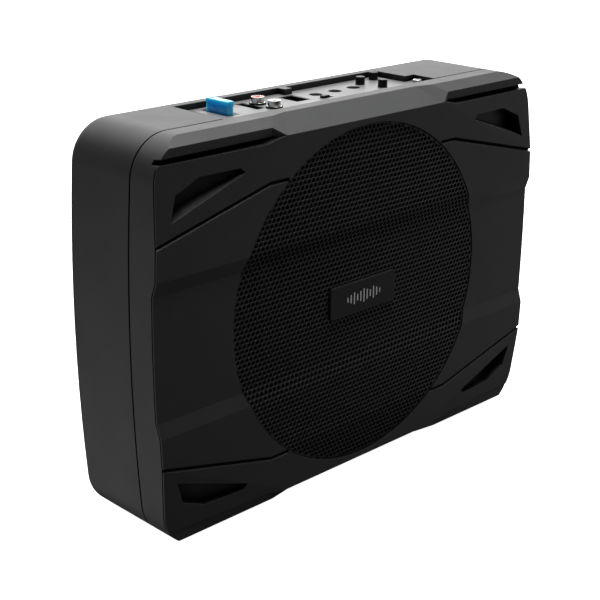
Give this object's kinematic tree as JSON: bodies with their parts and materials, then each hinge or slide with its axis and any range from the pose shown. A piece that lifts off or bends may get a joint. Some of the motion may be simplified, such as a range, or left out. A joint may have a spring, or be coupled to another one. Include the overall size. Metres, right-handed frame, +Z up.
{
  "type": "powered car subwoofer",
  "caption": "Slim black car subwoofer in a two-part moulded case, with a round mesh grille, faceted corner plates and a recessed control panel on top.",
  "frame": {"origin": "bottom centre of the bounding box, standing on its long side", "axes": "+X along the length, -Y out of the grille, +Z up through the control panel"},
  "size_m": [0.342, 0.0874, 0.2542],
  "materials": {
    "case_plastic": "fine moulded grain, satin black",
    "bezel_plastic": "fine moulded grain, satin black",
    "grille_steel": "black powder coat",
    "badge_black": "satin black",
    "badge_silver": "brushed silver",
    "black_plastic": "black moulded plastic",
    "rubber": "matt black rubber",
    "black_steel": "black zinc",
    "bright_steel": "bright zinc",
    "brass": "plain brass",
    "basket_metal": "black stove enamel",
    "cone_paper": "pressed paper pulp, black",
    "coil_former": "thin aluminium foil",
    "copper": "enamelled copper wire",
    "spider_cloth": "resin-treated cloth",
    "ferrite": "sintered ferrite",
    "foam": "open-cell foam",
    "wire_sleeve": "wire insulation",
    "panel_silver": "silver satin paint",
    "fuse_blue": "clear blue plastic",
    "tinned_metal": "tinned",
    "nickel": "nickel plate",
    "jack_red": "red plastic",
    "jack_white": "white plastic",
    "board_green": "solder mask",
    "can_sleeve": "shrunk plastic sleeve",
    "cast_alloy": "plain extruded"
  },
  "bodies": {
    "case": {"rear_housing": "case_plastic", "front_bezel": "bezel_plastic", "grille_mesh": "grille_steel", "badge_plate": "badge_black", "badge_mark": "badge_silver", "grille_retainer": "black_plastic", "speaker_input_socket": "black_plastic", "power_socket": "black_plastic", "rca_block": "black_plastic", "rca_collars": "black_plastic", "adjuster_bodies": "black_plastic", "phase_switch_body": "black_plastic", "button_bodies": "black_plastic", "fuse_holder": "black_plastic", "control_chips": "black_plastic", "terminal_strip": "black_plastic", "case_seal": "rubber", "rubber_feet": "rubber", "woofer_gasket": "rubber", "surround": "rubber", "case_screws": "black_steel", "woofer_screws": "black_steel", "power_transistors": "black_steel", "panel_screw": "bright_steel", "board_screws": "bright_steel", "board_spacers": "bright_steel", "top_plate": "bright_steel", "yoke": "bright_steel", "bracket_inserts": "brass", "terminal_lugs": "brass", "speaker_input_pins": "brass", "power_pins": "brass", "rca_contacts": "brass", "woofer_basket": "basket_metal", "choke": "copper", "spider": "spider_cloth", "magnet": "ferrite", "magnet_pad": "foam", "speaker_leads": "wire_sleeve", "control_panel": "panel_silver", "rca_barrels": "nickel", "rca_insulator_red": "jack_red", "rca_insulator_white": "jack_white", "amplifier_board": "board_green", "filter_capacitors": "can_sleeve", "heat_sink": "cast_alloy"},
    "cone_assembly": {"cone": "cone_paper", "dust_cap": "cone_paper", "voice_coil_former": "coil_former", "voice_coil": "copper"},
    "fuse": {"fuse_body": "fuse_blue", "fuse_blades": "tinned_metal"},
    "gain_rotor": {"gain_adjuster": "black_plastic"},
    "filter_rotor": {"filter_adjuster": "black_plastic"},
    "bass_rotor": {"bass_adjuster": "black_plastic"},
    "phase_lever": {"phase_switch_lever": "black_plastic"},
    "mode_cap": {"mode_button": "black_plastic"},
    "input_cap": {"input_button": "black_plastic"},
    "power_cap": {"power_button": "black_plastic"}
  },
  "joints": [
    {"name": "cone_travel", "type": "slide", "parent": "case", "child": "cone_assembly", "axis": [0, 1, 0], "range_m": [-0.005, 0.005], "stiffness_N_per_m": 3500, "deforming": ["surround", "spider"]},
    {"name": "fuse_pull", "type": "slide", "parent": "case", "child": "fuse", "axis": [0, 0, 1], "range_m": [0, 0.02]},
    {"name": "gain_turn", "type": "hinge", "parent": "case", "child": "gain_rotor", "pos_m": [0.0056, 0.00965, 0.242], "axis": [0, 0, 1], "range_deg": [-140, 140]},
    {"name": "filter_turn", "type": "hinge", "parent": "case", "child": "filter_rotor", "pos_m": [0.0232, 0.00965, 0.242], "axis": [0, 0, 1], "range_deg": [-140, 140]},
    {"name": "bass_turn", "type": "hinge", "parent": "case", "child": "bass_rotor", "pos_m": [0.0406, 0.00965, 0.242], "axis": [0, 0, 1], "range_deg": [-140, 140]},
    {"name": "phase_slide", "type": "slide", "parent": "case", "child": "phase_lever", "axis": [1, 0, 0], "range_m": [0, 0.003]},
    {"name": "mode_press", "type": "slide", "parent": "case", "child": "mode_cap", "axis": [0, 0, -1], "range_m": [0, 0.0015], "stiffness_N_per_m": 500, "springref_m": -0.0006},
    {"name": "input_press", "type": "slide", "parent": "case", "child": "input_cap", "axis": [0, 0, -1], "range_m": [0, 0.0015], "stiffness_N_per_m": 500, "springref_m": -0.0006},
    {"name": "power_press", "type": "slide", "parent": "case", "child": "power_cap", "axis": [0, 0, -1], "range_m": [0, 0.0015], "stiffness_N_per_m": 500, "springref_m": -0.0006}
  ]
}
